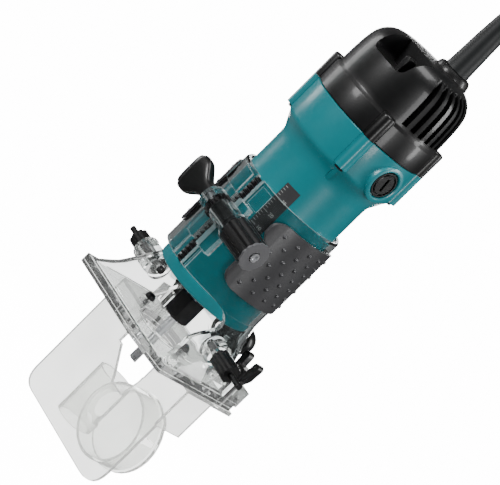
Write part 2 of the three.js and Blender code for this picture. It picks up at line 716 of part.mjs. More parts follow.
function rubberGrip(side) {
  const span = side > 0 ? [40, 140] : [220, 320];
  const pad = shell([BARREL_R + GAP, BARREL_R + 1.7], span, GRIP_Z, 13);
  const corners = sideways(rounded([-GRIP_Y, GRIP_Y], GRIP_Z, 7), [-50, 50]);
  return cut(pad.intersect(corners), bar('x', [-70, 70], [CLAMP_Y, GRIP_NOTCH_Z], 20, 32));
}

// ---- screws that are turned by hand ----
// where each side screw's knob starts and ends, and where its pin ends, out from the spindle
const GUIDE_RIGHT = [45.3, 60.3, 71.3];
const GUIDE_LEFT = [55, 64.2, 73];

function guideScrew(side) {
  const [start, end, pin] = side > 0 ? GUIDE_RIGHT : GUIDE_LEFT;
  const stud = bar('z', [32.2, start + 1], [0, 0], 2.4, 12);
  const knob = fluted(6.2, 0.7, 8, [start, end]);
  const tip = bar('z', [end - 1, pin], [0, 0], 1.9, 12);
  const whole = toX(join(stud, knob, tip));
  return moved(side > 0 ? whole : whole.rotate([0, 0, 180]), 0, 0, GUIDE_Z);
}

function rearKnob() {
  const dome = turned([[0, 54.6], [8.9, 54.6], [9.4, 56.4], [9, 60], [7.2, 63.4], [4, 65], [0, 65.4]], 20);
  const collar = bar('z', [53.7, 55], [0, 0], 5, 16);
  const stud = bar('z', [35.4, 55], [0, 0], 2.4, 14);
  return toY(join(dome, collar, stud)).translate([0, 0, GUIDE_Z]);
}

function wingScrew(side) {
  const outline = new THREE.Shape();
  outline.moveTo(-4.6, 16);
  outline.lineTo(4.6, 16);
  outline.lineTo(7.6, 22);
  outline.lineTo(8.3, 31);
  outline.absarc(5.9, 31, 2.4, 0, Math.PI, false);
  outline.lineTo(3.1, 25.2);
  outline.lineTo(-3.1, 25.2);
  outline.lineTo(-3.5, 31);
  outline.absarc(-5.9, 31, 2.4, 0, Math.PI, false);
  outline.lineTo(-7.6, 22);
  const wings = upright(outline, [-2.4, 2.4], 6);
  const hub = bar('z', [15.9, 25.2], [0, 0], 4.7, 16);
  const stud = bar('z', [-2.4, 17], [0, 0], 2.4, 10);
  return moved(join(wings, hub, stud), side * WING_AT[0], WING_AT[1], 0);
}

// ---- the dust hood under the sole ----
const HOOD_X = 48.5;
const DRUM_AT = [21.5, -52];
const DRUM_R = 26;
const PIPE_AT = [-10, 14.4];
const PIPE_R = 12.4;

function hoodOutline() {
  const outline = new THREE.Shape();
  outline.moveTo(-HOOD_X, -GAP);
  outline.lineTo(-HOOD_X, HOOD_LOW + 11);
  outline.quadraticCurveTo(-HOOD_X, HOOD_LOW, -HOOD_X + 11, HOOD_LOW);
  outline.lineTo(HOOD_X - 15, HOOD_LOW);
  outline.quadraticCurveTo(HOOD_X, HOOD_LOW, HOOD_X, HOOD_LOW + 15);
  outline.lineTo(HOOD_X, -GAP);
  outline.lineTo(-HOOD_X, -GAP);
  return outline;
}

// the opening that the bit looks out of, and the mouth of the chute below it
function bitMouth() {
  return new THREE.Shape([[-16, 2], [-15.6, -15], [-13.4, -21], [-9.6, -25], [-1, -34], [1.5, -37.6],
    [13.5, -37.6], [16.4, -24], [16.4, 2]].map(([x, z]) => new THREE.Vector2(x, z)));
}

function dustHood() {
  const wall = upright(hoodOutline(), [-1.2, 1.3], 6);
  const flange = box([-HOOD_X, HOOD_X], [-1.2, PLATE_BACK], [-2.8, -GAP]);
  const side = box([HOOD_X - 2.4, HOOD_X], [0, 22.6], [-29.6, -GAP]);
  const screwHoles = [1, -1].map(way => bar('z', [-4, 1], [way * WING_AT[0], WING_AT[1]], 2.8, 16));
  return cut(join(wall, flange, side), upright(bitMouth(), [-10, 10]),
    bar('z', [-20, 5], [0, 0], BIT_HOLE_R, 28), ...screwHoles);
}

// the drum and the pipe that the chips leave by, behind the hood's wall
function dustChamber() {
  const [front, back] = [1.6, 20];
  const drum = bar('y', [front, back - 3], DRUM_AT, DRUM_R - 1.2, 32);
  const rim = bar('y', [back - 3, back], DRUM_AT, DRUM_R, 32);
  const pipe = bar('z', [-76, -39], PIPE_AT, PIPE_R, 32);
  const pipeInside = bar('z', [-80, -30], PIPE_AT, PIPE_R - 1.6, 32);
  const drumInside = bar('y', [front - 1, back - 1.8], DRUM_AT, DRUM_R - 3, 32);
  return cut(join(drum, rim, pipe), pipeInside, drumInside);
}

// ---- the cord ----
// It rises out of the boot, bends over and hangs behind the motor, where the rest of it is
// folded into a tied hank. AWAY is the way it goes, seen from above.
const AWAY = 130.5;
const BOOT_END = OUTLET_TOP + BOOT_LENGTH;
const HANK_BOTTOM = 22.5;        // in the motor's frame
const HANK_LENGTH = 137;
const FOLD_R = 23;               // the cord's middle line in a fold
const LAYERS = 6;
const HANK_THICK = 2 * CORD_R * LAYERS;
const HANK_NEAR = 46;            // from the spindle to the hank's nearer side
const HANK_SIDE = -5.7;          // from the spindle to the hank's middle, across AWAY
const RUN_AT = HANK_NEAR + CORD_R + 2 * FOLD_R;
const TIE_Z = [67.5, 79.5];
const PLUG_OUT = 113;
const PLUG_SIDE = -14;
const PLUG_Z = 84.5;             // where the plug's strain relief begins; it points down

// from out, side and z to x, y and z
function placed(body) {
  return body.rotate([0, 0, AWAY]);
}

function cordBoot() {
  const low = OUTLET_TOP - 8;
  return turned([[0, low], [6, low], [6, OUTLET_TOP + GAP], [8.2, OUTLET_TOP + GAP],
    [7.9, OUTLET_TOP + 3], [7.1, OUTLET_TOP + 26], [4.8, BOOT_END], [0, BOOT_END]], 20)
    .translate([0, CORD_Y, 0]);
}

function cordTail() {
  return bar('z', [164, OUTLET_TOP - 8 - GAP], [0, CORD_Y], CORD_R, 12);
}

// the free stretch of cord: up from the boot, over, and down to the hank
function powerCord() {
  const away = new THREE.Vector3(Math.cos(rad(AWAY)), Math.sin(rad(AWAY)), 0);
  const start = new THREE.Vector3(0, CORD_Y, 0);
  const run = RUN_AT - start.dot(away);
  const top = BOOT_END + 8;
  const at = (out, z) => start.clone().addScaledVector(away, out).setZ(z);
  const points = [at(0, BOOT_END + GAP), at(0, top)];
  for (let i = 1; i < 12; i++) {
    const turn = Math.PI * i / 12;
    points.push(at(run / 2 * (1 - Math.cos(turn)), top + run / 2 * Math.sin(turn)));
  }
  const bottom = HANK_BOTTOM + HANK_LENGTH + GAP;
  for (let i = 0; i <= 5; i++) points.push(at(run, top + (bottom - top) * i / 5));
  return tubeAlong(new THREE.CatmullRomCurve3(points, false, 'centripetal'), CORD_R, 24, 8);
}

// a long ring with round ends, drawn with its length along Z
function hankOutline(r, middle) {
  const [low, high] = [HANK_BOTTOM + FOLD_R + CORD_R, HANK_BOTTOM + HANK_LENGTH - FOLD_R - CORD_R];
  const outline = new THREE.Shape();
  outline.moveTo(middle + r, low);
  outline.absarc(middle, high, r, 0, Math.PI, false);
  outline.absarc(middle, low, r, Math.PI, 2 * Math.PI, false);
  return outline;
}

function cordHank() {
  const middle = HANK_NEAR + CORD_R + FOLD_R;
  const [left, right] = [HANK_SIDE - HANK_THICK / 2, HANK_SIDE + HANK_THICK / 2];
  const whole = upright(hankOutline(FOLD_R + CORD_R, middle), [-right, -left], 10);
  const inside = upright(hankOutline(FOLD_R - CORD_R, middle), [-right - 1, -left + 1], 10);
  const entry = box([RUN_AT - CORD_R, RUN_AT + CORD_R], [-right, -right + 2 * CORD_R],
    [HANK_BOTTOM + HANK_LENGTH - 35, HANK_BOTTOM + HANK_LENGTH]);
  const lastLayer = -left - CORD_R;
  const leaving = wasm.Manifold.hull([
    bar('z', [PLUG_Z + GAP, PLUG_Z + 2], [PLUG_OUT, -PLUG_SIDE], CORD_R, 12),
    bar('z', [PLUG_Z + 34, PLUG_Z + 36], [RUN_AT - 0.5, lastLayer], CORD_R - 0.2, 12)]);
  return placed(join(cut(whole, inside), entry, leaving));
}

function cordTie() {
  const outer = [HANK_NEAR - 2.1, RUN_AT + CORD_R + 2.1];
  const inner = [HANK_NEAR - GAP, RUN_AT + CORD_R + GAP];
  const side = room => [-HANK_SIDE - HANK_THICK / 2 - room, -HANK_SIDE + HANK_THICK / 2 + room];
  const hole = box(inner, side(GAP), [TIE_Z[0] - 1, TIE_Z[1] + 1]);
  return placed(cut(box(outer, side(2.1), TIE_Z), hole));
}

const PLUG_BODY = [28.5, 64];
const PIN_APART = 19;

function plug() {
  const middle = [PLUG_OUT, -PLUG_SIDE];
  const face = new THREE.Shape();
  face.absarc(0, 4.8, 12.8, 0, Math.PI, false);
  face.absarc(0, -4.8, 12.8, Math.PI, 2 * Math.PI, false);
  const front = extruded(face, [PLUG_BODY[0], 47], 10).translate([...middle, 0]);
  const neck = bar('z', [PLUG_BODY[1] - 2, PLUG_BODY[1]], middle, 7.4, 20);
  const relief = bar('z', [PLUG_BODY[1] - 1, PLUG_Z], middle, 6.2, 20, 4.8);
  return placed(join(wasm.Manifold.hull([front, neck]), relief));
}

function plugPin(side) {
  const pin = turned([[0, 9.5], [1.4, 9.5], [2.4, 11], [2.4, PLUG_BODY[0] - GAP],
    [0, PLUG_BODY[0] - GAP]], 14);
  return placed(pin.translate([PLUG_OUT, -PLUG_SIDE + side * PIN_APART / 2, 0]));
}

// ---- the whole router ----
const router = new THREE.Group();
router.name = 'trim_router';

function add(name, body, material) {
  router.add(piece(name, body, material));
}

// a piece that the motor carries, made above the housing's lower end
function addToMotor(name, body, material) {
  add(name, body.translate([0, 0, MOTOR_Z]), material);
}

const sideName = side => (side > 0 ? 'right' : 'left');

add('base_housing', baseHousing(), clear());
add('sole_plate', solePlate(), clear());
SOLE_SCREWS.forEach((at, i) => add(`sole_screw_${i + 1}`, soleScrew(at), metal(DARK_STEEL)));
add('clamp_bolt', clampBolt(), metal(STEEL));
add('clamp_paddle', clampPaddle(), plastic(BLACK));
add('pinion', pinion(), plastic(BLACK));
add('adjusting_knob', adjustingKnob(), plastic(BLACK));
add('knob_cap', knobCap(), plastic(0x4c4f53));
add('rear_knob', rearKnob(), plastic(BLACK));
add('dust_hood', dustHood(), clear());
add('dust_chamber', dustChamber(), clear());

addToMotor('motor_housing', motorHousing(), plastic(TEAL, 0.4));
addToMotor('scale_plate', scalePlate(), plastic(BLACK));
addToMotor('depth_rack', depthRack(), plastic(BLACK));
addToMotor('rear_cover', rearCover(), plastic(BLACK));
atBosses((at, i) => addToMotor(`cover_screw_${i + 1}`, coverScrew(at), metal(DARK_STEEL)));
addToMotor('field_stator', fieldStator(), metal(COPPER));
addToMotor('front_bearing', bearing(13.1, 5.15, [5.3, 13.3]), metal(STEEL));
addToMotor('rear_bearing', bearing(9.6, 3.65, [155, 161]), metal(STEEL));
addToMotor('switch_body', switchBody(), plastic(BLACK));
addToMotor('switch_lever', switchLever(), plastic(BLACK));
addToMotor('cord_clamp', cordClamp(), plastic(BLACK));
addToMotor('cord_boot', cordBoot(), plastic(RUBBER, 0.7));
addToMotor('cord_tail', cordTail(), plastic(RUBBER, 0.7));
addToMotor('power_cord', powerCord(), plastic(RUBBER, 0.7));
addToMotor('cord_hank', cordHank(), plastic(RUBBER, 0.7));
addToMotor('cord_tie', cordTie(), plastic(BLACK));
addToMotor('plug', plug(), plastic(RUBBER, 0.6));

addToMotor('spindle_shaft', spindleShaft(), metal(STEEL));
addToMotor('collet_cone', colletCone(), metal(STEEL));
addToMotor('collet_nut', colletNut(), metal(DARK_STEEL));
addToMotor('router_bit', routerBit(), metal(STEEL));
addToMotor('armature_core', armatureCore(), metal(STEEL));
addToMotor('commutator', commutator(), metal(COPPER));
addToMotor('cooling_fan', coolingFan(), plastic(BLACK));

for (const side of [1, -1]) {
  const name = sideName(side);
  add(`rubber_grip_${name}`, rubberGrip(side), plastic(RUBBER, 0.7));
  add(`guide_screw_${name}`, guideScrew(side), plastic(BLACK));
  add(`wing_screw_${name}`, wingScrew(side), plastic(BLACK));
  addToMotor(`brush_cap_${name}`, brushCap(side), plastic(BLACK));
  addToMotor(`brush_holder_${name}`, brushHolder(side), metal(BRASS));
  addToMotor(`carbon_brush_${name}`, carbonBrush(side), plastic(DARK_STEEL));
  addToMotor(`brush_spring_${name}`, brushSpring(side), metal(STEEL));
  addToMotor(`plug_pin_${name}`, plugPin(side), metal(BRASS));
}

export default router;
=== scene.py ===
"""The looks of the trim router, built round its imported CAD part. Sizes in this file are millimetres
unless a name ends in _M or a comment says metres, and MM turns them into Blender's metres. Angles are degrees
in names and tables."""

import json
import math

import bmesh
import bpy
from mathutils import Matrix, Vector


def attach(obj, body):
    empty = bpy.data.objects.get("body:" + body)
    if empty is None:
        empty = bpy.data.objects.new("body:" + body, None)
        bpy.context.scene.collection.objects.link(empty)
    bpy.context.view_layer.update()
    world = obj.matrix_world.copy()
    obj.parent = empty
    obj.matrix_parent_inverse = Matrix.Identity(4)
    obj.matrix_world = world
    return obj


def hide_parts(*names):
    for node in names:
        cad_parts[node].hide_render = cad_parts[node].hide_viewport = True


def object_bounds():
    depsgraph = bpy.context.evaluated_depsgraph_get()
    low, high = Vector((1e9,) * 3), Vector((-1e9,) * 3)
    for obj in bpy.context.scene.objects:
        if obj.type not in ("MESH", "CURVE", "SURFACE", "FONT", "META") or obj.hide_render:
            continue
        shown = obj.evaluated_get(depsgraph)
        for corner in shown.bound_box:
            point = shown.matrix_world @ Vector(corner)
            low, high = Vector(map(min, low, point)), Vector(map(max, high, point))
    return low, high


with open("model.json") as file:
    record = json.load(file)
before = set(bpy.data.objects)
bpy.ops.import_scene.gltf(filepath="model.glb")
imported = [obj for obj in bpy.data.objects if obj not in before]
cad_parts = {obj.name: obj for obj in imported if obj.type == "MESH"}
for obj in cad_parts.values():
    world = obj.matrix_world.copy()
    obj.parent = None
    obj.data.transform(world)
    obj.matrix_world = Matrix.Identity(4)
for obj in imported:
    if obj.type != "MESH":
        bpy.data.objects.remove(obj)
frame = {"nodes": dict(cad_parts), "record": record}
cad_low, cad_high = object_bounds()
NODES = frame["nodes"]
MM = 0.001

# the motor as it is set: its lower end above the sole, and its cord's outlet behind the spindle
MOTOR_Z = 39.5
CORD_Y = 20.5


# ---- camera ----
# degrees from the front towards +X, millimetres from the spindle's axis, and height above the sole
CAMERA_AZIMUTH, CAMERA_DISTANCE, CAMERA_HEIGHT = 40.5, 1500, 373
CAMERA_AIM = (0, 0, 79)
# the photograph shows the tool leaning, so the camera is turned about its line of sight
CAMERA_TURN = 45.35
CAMERA_SENSOR, CAMERA_LENS = 36, 190.4
CLIP_NEAR_M, CLIP_FAR_M = 0.01, 50


def look(position, target, turn):
    """The camera's place, with the picture turned by an angle round the line of sight."""
    forward = (target - position).normalized()
    right = forward.cross(Vector((0, 0, 1))).normalized()
    up = right.cross(forward)
    sine, cosine = math.sin(turn), math.cos(turn)
    columns = (cosine * right + sine * up, cosine * up - sine * right, -forward)
    matrix = Matrix([[c[i] for c in columns] for i in range(3)]).to_4x4()
    matrix.translation = position
    return matrix


def add_camera():
    data = bpy.data.cameras.new("camera")
    data.sensor_width = CAMERA_SENSOR
    data.lens = CAMERA_LENS
    data.clip_start, data.clip_end = CLIP_NEAR_M, CLIP_FAR_M
    camera = bpy.data.objects.new("camera", data)
    bpy.context.scene.collection.objects.link(camera)
    azimuth = math.radians(CAMERA_AZIMUTH)
    x, y = CAMERA_DISTANCE * math.sin(azimuth), -CAMERA_DISTANCE * math.cos(azimuth)
    position = Vector((x, y, CAMERA_HEIGHT)) * MM
    camera.matrix_world = look(position, Vector(CAMERA_AIM) * MM, math.radians(CAMERA_TURN))
    bpy.context.scene.camera = camera


add_camera()


# ---- materials ----
# sizes of the patterns, as noise scales per metre, and the depth of the relief they give
MOTTLE, SHEEN_PATCHES, CLOUDS, FLOW = 60, 220, 40, 70
NOISE_ROUGHNESS = 0.55
GRAIN_DEPTH_M, FLOW_DEPTH_M = 0.0002, 0.0004
COAT_ROUGHNESS = 0.12
# where a mottled look turns from its dark tone to its light one
MOTTLE_DARK, MOTTLE_LIGHT = 0.3, 0.7


def node_material(name):
    material = bpy.data.materials.new(name)
    material.use_nodes = True
    tree = material.node_tree
    return material, tree, tree.nodes["Principled BSDF"]


def noise(tree, scale, detail):
    place = tree.nodes.get("Texture Coordinate") or tree.nodes.new("ShaderNodeTexCoord")
    node = tree.nodes.new("ShaderNodeTexNoise")
    node.inputs["Scale"].default_value = scale
    node.inputs["Detail"].default_value = detail
    node.inputs["Roughness"].default_value = NOISE_ROUGHNESS
    tree.links.new(place.outputs["Object"], node.inputs["Vector"])
    return node.outputs["Fac"]


def mottled(tree, source, dark, light):
    """Two tones of a colour, spread by a noise."""
    node = tree.nodes.new("ShaderNodeValToRGB")
    stops = ((MOTTLE_DARK, dark), (MOTTLE_LIGHT, light))
    for element, (at, colour) in zip(node.color_ramp.elements, stops):
        element.position = at
        element.color = (*colour, 1)
    tree.links.new(source, node.inputs["Fac"])
    return node.outputs["Color"]


def span(tree, source, low, high):
    node = tree.nodes.new("ShaderNodeMapRange")
    node.inputs["To Min"].default_value = low
    node.inputs["To Max"].default_value = high
    tree.links.new(source, node.inputs["Value"])
    return node.outputs["Result"]


def combined(tree, operation, a, b):
    node = tree.nodes.new("ShaderNodeMath")
    node.operation = operation
    for source, socket in zip((a, b), node.inputs):
        if isinstance(source, float):
            socket.default_value = source
        else:
            tree.links.new(source, socket)
    return node.outputs[0]


def bump(tree, shader, height, strength, distance):
    node = tree.nodes.new("ShaderNodeBump")
    node.inputs["Strength"].default_value = strength
    node.inputs["Distance"].default_value = distance
    tree.links.new(height, node.inputs["Height"])
    tree.links.new(node.outputs["Normal"], shader.inputs["Normal"])


def shade(colour, factor):
    return tuple(min(1.0, c * factor) for c in colour)


def moulded(name, colour, rough, grain=1800, strength=0.12, vary=0.12, metallic=0.0, coat=0.0, shine=0.5):
    """Moulded plastic, rubber or cast metal: faint mottling, with a fine grain in its surface."""
    material, tree, shader = node_material(name)
    tone = mottled(tree, noise(tree, MOTTLE, 4), shade(colour, 1 - vary), shade(colour, 1 + vary))
    tree.links.new(tone, shader.inputs["Base Color"])
    tree.links.new(span(tree, noise(tree, SHEEN_PATCHES, 2), *rough), shader.inputs["Roughness"])
    shader.inputs["Metallic"].default_value = metallic
    shader.inputs["Specular IOR Level"].default_value = shine
    shader.inputs["Coat Weight"].default_value = coat
    shader.inputs["Coat Roughness"].default_value = COAT_ROUGHNESS
    bump(tree, shader, noise(tree, grain, 2), strength, GRAIN_DEPTH_M)
    return material


def clear_plastic(name, tint, rough, wave, milk, cloud=0.02, bend=1.4):
    """Clear moulded plastic, which bends and mirrors what is round it, with a faint flow in its surface."""
    material, tree, shader = node_material(name)
    tone = mottled(tree, noise(tree, CLOUDS, 3), shade(tint, 1 - cloud), tint)
    tree.links.new(tone, shader.inputs["Base Color"])
    shader.inputs["Roughness"].default_value = rough
    shader.inputs["IOR"].default_value = bend
    shader.inputs["Transmission Weight"].default_value = 1 - milk
    bump(tree, shader, noise(tree, FLOW, 2), wave, FLOW_DEPTH_M)
    return material


TEAL = moulded("teal_plastic", (0.0, 0.145, 0.17), (0.32, 0.42), vary=0.05, strength=0.06, coat=0.25,
               shine=0.35)
BLACK = moulded("black_plastic", (0.0016, 0.0016, 0.0018), (0.36, 0.46), strength=0.06, coat=0.16,
                shine=0.25)
GREY = moulded("grey_plastic", (0.06, 0.06, 0.064), (0.36, 0.46))
RUBBER = moulded("grip_rubber", (0.027, 0.027, 0.029), (0.34, 0.42), grain=1200, strength=0.15, coat=0.3)
STUD = moulded("grip_studs", (0.03, 0.03, 0.034), (0.26, 0.36), grain=900, strength=0.1)
MARKS = moulded("printed_marks", (0.3, 0.31, 0.3), (0.4, 0.5), vary=0.08)
GREY_STRIP = moulded("scale_strip", (0.022, 0.022, 0.024), (0.4, 0.5))
CORD = moulded("cord_rubber", (0.02, 0.021, 0.022), (0.42, 0.55), grain=900, strength=0.12)
BOOT = moulded("boot_rubber", (0.005, 0.006, 0.0065), (0.45, 0.55), grain=900, strength=0.1, shine=0.25)
STEEL = moulded("turned_steel", (0.62, 0.63, 0.65), (0.22, 0.36), grain=600, strength=0.08, vary=0.05,
                metallic=1)
DARK = moulded("blackened_steel", (0.002, 0.002, 0.0025), (0.3, 0.42), vary=0.1, shine=0.2)
COPPER = moulded("wound_copper", (0.7, 0.33, 0.17), (0.3, 0.45), grain=500, strength=0.4, metallic=1)
BRASS = moulded("plain_brass", (0.72, 0.55, 0.25), (0.25, 0.4), vary=0.06, metallic=1)
CARBON = moulded("carbon", (0.03, 0.03, 0.032), (0.5, 0.7))
# its grey tint is partly the plastic's own and partly painted shade: it darkens the teal behind the barrel in
# place of the shadow that clear plastic doesn't cast here
CLEAR_SHADED = clear_plastic("clear_plastic", (0.4, 0.43, 0.43), rough=0.02, wave=0.02, milk=0.002, bend=1.28)
HOOD = clear_plastic("hood_plastic", (0.9, 0.91, 0.89), rough=0.08, cloud=0.1, wave=0.14, milk=0.12)
PLATE = clear_plastic("clear_plate", (0.96, 0.975, 0.965), rough=0.02, wave=0.12, milk=0.025, bend=1.3)
# a lighter, milkier copy of the clear plastic for the barrel's rims: a painted highlight along their edges
RIM_HIGHLIGHT = clear_plastic("clear_rim_highlight", (0.8, 0.9, 0.9), rough=0.2, wave=0.05, milk=0.22, bend=1.3)
SLOT_LOOKS = {
    "clear_plastic": CLEAR_SHADED, "teal_plastic": TEAL, "black_plastic": BLACK, "grey_plastic": GREY,
    "grip_rubber": RUBBER, "cord_rubber": CORD, "steel": STEEL, "dark_steel": DARK,
    "copper": COPPER, "brass": BRASS, "carbon": CARBON,
}
OWN_LOOKS = {"dust_hood": HOOD, "dust_chamber": HOOD, "sole_plate": PLATE, "cord_boot": BOOT}

# the base's legs and side bosses end at these heights, and its barrel is within this radius
LEG_TOP_M, BOSS_TOP_M, BARREL_R_M = 0.03, 0.045, 0.0405
PLATE_INDEX, RIM_INDEX = 1, 2
# the barrel's rims, which get a painted highlight, are its faces that look out or in by less than this
RIM_FACING = 0.5
# vertices closer than this are one, and faces that meet at more degrees than this have a sharp edge
WELD_M, CREASE = 0.00001, 28


def dress_cad_nodes():
    for part in frame["record"]["subparts"]:
        node = NODES[part["node"]]
        node.data.materials.clear()
        node.data.materials.append(OWN_LOOKS.get(part["node"], SLOT_LOOKS[part["material_slot"]]))
        # clear plastic lets the lamps through to what is behind it
        node.visible_shadow = part["material_slot"] != "clear_plastic"
        for face in node.data.polygons:
            face.use_smooth = True
        weld = node.modifiers.new("weld", "WELD")
        weld.merge_threshold = WELD_M
        split = node.modifiers.new("crease", "EDGE_SPLIT")
        split.split_angle = math.radians(CREASE)


def dress_base():
    """The base's floor and side bosses take the plain clear plate look, lighter than the barrel, whose grey
    tint is partly painted shade. The barrel's rims take a lighter, milky look that is a painted highlight.
    """
    mesh = NODES["base_housing"].data
    for look_of in (PLATE, RIM_HIGHLIGHT):
        mesh.materials.append(look_of)
    for face in mesh.polygons:
        corners = [mesh.vertices[i].co for i in face.vertices]
        top, inner = max(c.z for c in corners), min(math.hypot(c.x, c.y) for c in corners)
        outward = Vector((face.center.x, face.center.y, 0)).normalized()
        if top < LEG_TOP_M or (top < BOSS_TOP_M and inner > BARREL_R_M):
            face.material_index = PLATE_INDEX
        elif top > BOSS_TOP_M and inner < BARREL_R_M and abs(face.normal.dot(outward)) < RIM_FACING:
            face.material_index = RIM_INDEX


dress_cad_nodes()
dress_base()


# ---- mesh building ----
# vertices closer than this are one
SAME_PLACE = 1e-4
# edges that turn by more degrees than this are rounded
ROUNDED_ABOVE, ROUNDED_STEPS = 35, 2
# how many sides a turned shape has, by its size
BODY_SIDES, CAP_SIDES, BOSS_SIDES, DOT_SIDES = 128, 64, 48, 14


def turned(profile, segments):
    """Turns [radius, height] points about Z. The section closes on itself or ends on the axis."""
    bm = bmesh.new()
    rows = []
    for radius, height in profile:
        if radius == 0:
            rows.append([bm.verts.new((0, 0, height))])
            continue
        turns = [2 * math.pi * i / segments for i in range(segments)]
        rows.append([bm.verts.new((radius * math.cos(t), radius * math.sin(t), height)) for t in turns])
    pairs = list(zip(rows, rows[1:]))
    if len(rows[0]) > 1 and len(rows[-1]) > 1:
        pairs.append((rows[-1], rows[0]))
    for low, high in pairs:
        for i in range(segments):
            j = (i + 1) % segments
            corners = [low[i % len(low)], low[j % len(low)], high[j % len(high)], high[i % len(high)]]
            corners = [v for k, v in enumerate(corners) if v not in corners[:k]]
            if len(corners) > 2:
                bm.faces.new(corners)
    return bm


def prism(outline, low, high):
    """A flat outline of [x, y] points, from one height to another."""
    bm = bmesh.new()
    bottom = [bm.verts.new((x, y, low)) for x, y in outline]
    top = [bm.verts.new((x, y, high)) for x, y in outline]
    bm.faces.new(list(reversed(bottom)))
    bm.faces.new(top)
    for i in range(len(outline)):
        j = (i + 1) % len(outline)
        bm.faces.new((bottom[i], bottom[j], top[j], top[i]))
    return bm


def rounded(x0, x1, y0, y1, r, steps=6):
    """The outline of a rectangle with round corners."""
    points = []
    corners = ((x1 - r, y0 + r, -90), (x1 - r, y1 - r, 0), (x0 + r, y1 - r, 90), (x0 + r, y0 + r, 180))
    for cx, cy, start in corners:
        for i in range(steps + 1):
            turn = math.radians(start + 90 * i / steps)
            points.append((cx + r * math.cos(turn), cy + r * math.sin(turn)))
    return points


def move(bm, offset=(0, 0, 0), turn=0.0, axis="Z"):
    """Turns a shape about an axis through the origin, then moves it."""
    rotation = Matrix.Rotation(math.radians(turn), 3, axis)
    bmesh.ops.rotate(bm, cent=(0, 0, 0), matrix=rotation, verts=bm.verts)
    bmesh.ops.translate(bm, vec=Vector(offset), verts=bm.verts)
    return bm


def merged(*parts):
    """Several closed shapes as one mesh."""
    whole = bmesh.new()
    for part in parts:
        mesh = bpy.data.meshes.new("part")
        part.to_mesh(mesh)
        part.free()
        whole.from_mesh(mesh)
        bpy.data.meshes.remove(mesh)
    return whole


def temporary(bm):
    """An object in the scene that holds a mesh while a boolean is worked out."""
    bmesh.ops.recalc_face_normals(bm, faces=bm.faces)
    mesh = bpy.data.meshes.new("temporary")
    bm.to_mesh(mesh)
    bm.free()
    thing = bpy.data.objects.new("temporary", mesh)
    bpy.context.scene.collection.objects.link(thing)
    return thing


def carved(bm, *tools, operation="DIFFERENCE"):
    """bm with the tools taken away from it, or joined to it."""
    body = temporary(bm)
    for tool in tools:
        cutter = temporary(tool)
        step = body.modifiers.new("step", "BOOLEAN")
        step.operation = operation
        step.solver = "EXACT"
        step.object = cutter
        result = bpy.data.meshes.new_from_object(body.evaluated_get(bpy.context.evaluated_depsgraph_get()))
        body.modifiers.clear()
        old = body.data
        body.data = result
        bpy.data.meshes.remove(old)
        bpy.data.objects.remove(cutter)
    out = bmesh.new()
    out.from_mesh(body.data)
    bpy.data.objects.remove(body)
    return out


def skinned(rings):
    """A closed skin through rings that all have the same number of points."""
    bm = bmesh.new()
    rows = [[bm.verts.new(point) for point in ring] for ring in rings]
    count = len(rows[0])
    bm.faces.new(list(reversed(rows[0])))
    bm.faces.new(rows[-1])
    for low, high in zip(rows, rows[1:]):
        for i in range(count):
            j = (i + 1) % count
            bm.faces.new((low[i], low[j], high[j], high[i]))
    return bm


def eased(part):
    """From 0 to 1 with a soft start and end."""
    return part * part * (3 - 2 * part)


def smooth_between(table, place):
    """The height at one place on a soft curve through [place, height] pairs."""
    for (a, low), (b, high) in zip(table, table[1:]):
        if place <= b:
            return low + (high - low) * eased((place - a) / (b - a))
    return table[-1][1]


def piece(name, bm, look_of, body, replaces=(), crease=32, bevel=0.0):
    """Turns a mesh in millimetres into a shown piece that rides on a body."""
    bmesh.ops.remove_doubles(bm, verts=bm.verts, dist=SAME_PLACE)
    bmesh.ops.recalc_face_normals(bm, faces=bm.faces)
    bmesh.ops.scale(bm, vec=(MM,) * 3, verts=bm.verts)
    mesh = bpy.data.meshes.new(name)
    bm.to_mesh(mesh)
    bm.free()
    for face in mesh.polygons:
        face.use_smooth = True
    mesh.set_sharp_from_angle(angle=math.radians(crease))
    mesh.materials.append(look_of)
    thing = bpy.data.objects.new(name, mesh)
    bpy.context.scene.collection.objects.link(thing)
    if bevel:
        round_edges(thing, bevel)
    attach(thing, body)
    if replaces:
        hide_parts(*replaces)
    return thing


def round_edges(thing, width):
    """Takes the sharpness off the edges."""
    edge = thing.modifiers.new("round", "BEVEL")
    edge.width = width * MM
    edge.segments = ROUNDED_STEPS
    edge.limit_method = "ANGLE"
    edge.angle_limit = math.radians(ROUNDED_ABOVE)
    edge.harden_normals = True


def around(r, degrees):
    """x and y at a radius, at an angle counted from the front towards +X."""
    return r * math.sin(math.radians(degrees)), -r * math.cos(math.radians(degrees))


BOSS_ANGLES = (47.9, 132.1, 227.9, 312.1)
BOSS_R, BOSS_OUT, BOSS_BOTTOM = 4.75, 38.4, 153.4
# the height where the teal housing ends, and the rear cover's start a hair above it
SPLIT = MOTOR_Z + 136.5
COVER_START = SPLIT + 0.3
BRUSH_OUT, BRUSH_Z = 39.6, MOTOR_Z + 122.3
BRUSH_SEAT_R, BRUSH_SEAT_DEPTH, BRUSH_CAP_R = 9.3, 2.5, 8.6
# the +X side and the -X side
SIDES = {1: "right", -1: "left"}


def boss(degrees, low, high, domed=0.0):
    """A half-round screw boss on the motor's flange, with a softened top where it ends."""
    steps = [(BOSS_R, high)]
    if domed:
        turns = [math.pi / 8 * i for i in range(5)]
        steps = [(BOSS_R - domed + domed * math.cos(t), high - domed + domed * math.sin(t)) for t in turns]
    x, y = around(BOSS_OUT, degrees)
    return move(turned([(0, low), (BOSS_R, low), *steps, (0, high)], BOSS_SIDES), (x, y, 0))


def at_brush(bm, way):
    """Turns a shape built along Z to face out of the brush opening on one side."""
    return move(move(bm, turn=90 * way, axis="Y"), (BRUSH_OUT * way, 0, BRUSH_Z))


